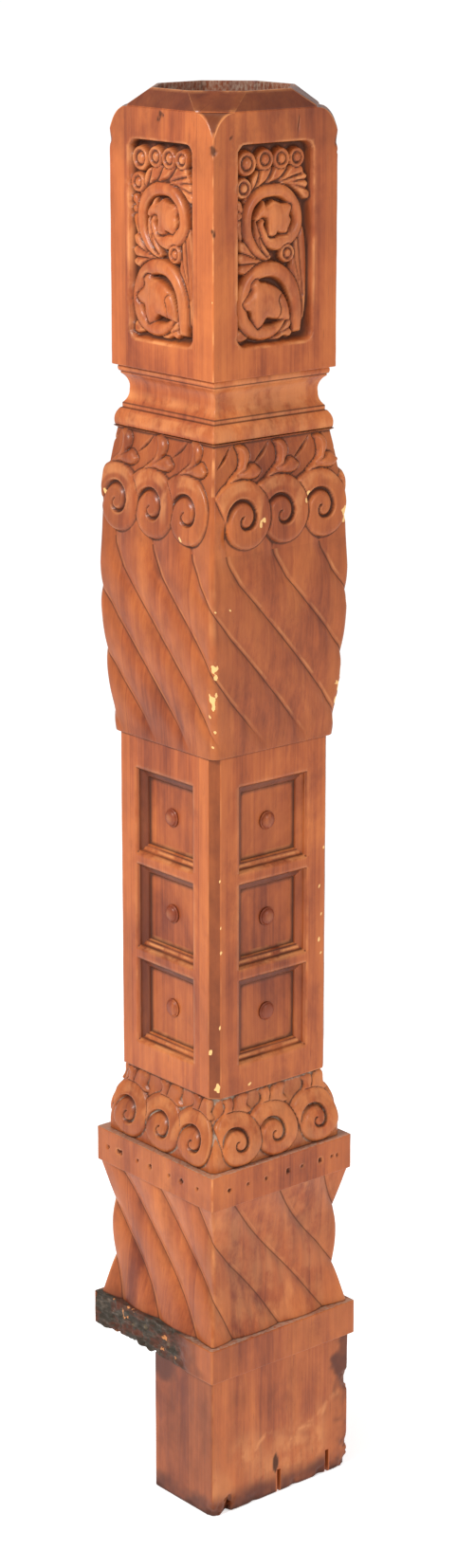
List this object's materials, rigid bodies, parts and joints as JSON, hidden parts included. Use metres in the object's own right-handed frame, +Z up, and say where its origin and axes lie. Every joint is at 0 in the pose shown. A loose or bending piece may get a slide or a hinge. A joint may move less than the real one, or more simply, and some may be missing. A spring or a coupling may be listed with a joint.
{
  "type": "newel post",
  "caption": "Carved square wooden newel post with scroll and leaf bands, spiral flutes, sunk panels with bosses, a hollow octagonal top and a notched foot.",
  "frame": {"origin": "middle of the foot's underside, as the full square before the notch", "axes": "+Z up; the faces are square to X and Y; -Y is the face with the saw cuts, and the notch is in the quarter at -X and +Y"},
  "size_m": [0.2066, 0.2066, 1.5245],
  "materials": {
    "carved_wood": "worn satin varnish over orange-brown stain, dusty in the carving",
    "boss_wood": "satin varnish over darker brown stain"
  },
  "bodies": {
    "root": {"post": "carved_wood", "boss_back_1": "boss_wood", "boss_back_2": "boss_wood", "boss_back_3": "boss_wood", "boss_front_1": "boss_wood", "boss_front_2": "boss_wood", "boss_front_3": "boss_wood", "boss_left_1": "boss_wood", "boss_left_2": "boss_wood", "boss_left_3": "boss_wood", "boss_right_1": "boss_wood", "boss_right_2": "boss_wood", "boss_right_3": "boss_wood"}
  },
  "joints": []
}
